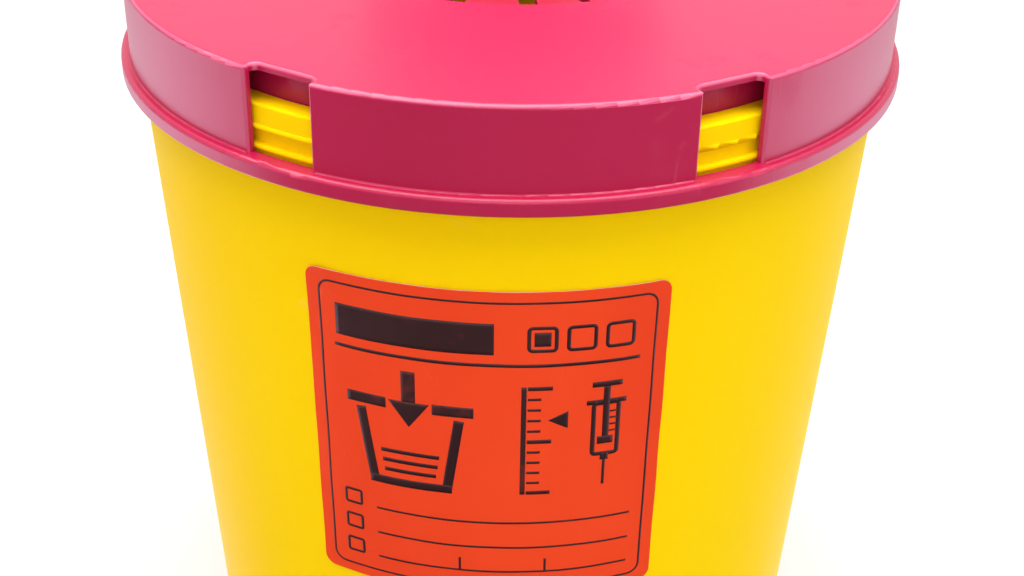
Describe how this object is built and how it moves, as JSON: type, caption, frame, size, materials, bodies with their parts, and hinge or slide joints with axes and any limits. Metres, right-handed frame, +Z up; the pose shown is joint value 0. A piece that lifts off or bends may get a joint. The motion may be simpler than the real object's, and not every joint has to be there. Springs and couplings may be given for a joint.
{
  "type": "sharps container",
  "caption": "Round tapered sharps bucket with a press-on lid, windowed skirt, needle-remover aperture, hinged closing cap and a front label.",
  "frame": {"origin": "on the table, under the middle of the bucket", "axes": "+Z up along the bucket's axis, label on the -Y side, cap hinge on the +Y side"},
  "size_m": [0.2, 0.2, 0.3033],
  "materials": {
    "bucket_plastic": "satin",
    "lid_plastic": "satin",
    "insert_plastic": "satin",
    "label_film": "matt film"
  },
  "bodies": {
    "container": {"bucket": "bucket_plastic", "lid": "lid_plastic", "needle_remover": "insert_plastic", "front_label": "label_film"},
    "cap": {"aperture_cap": "lid_plastic"}
  },
  "joints": [
    {"name": "cap_hinge", "type": "hinge", "parent": "container", "child": "cap", "pos_m": [0, 0.0434, 0.2192], "axis": [1, 0, 0], "range_deg": [0, 115]}
  ]
}
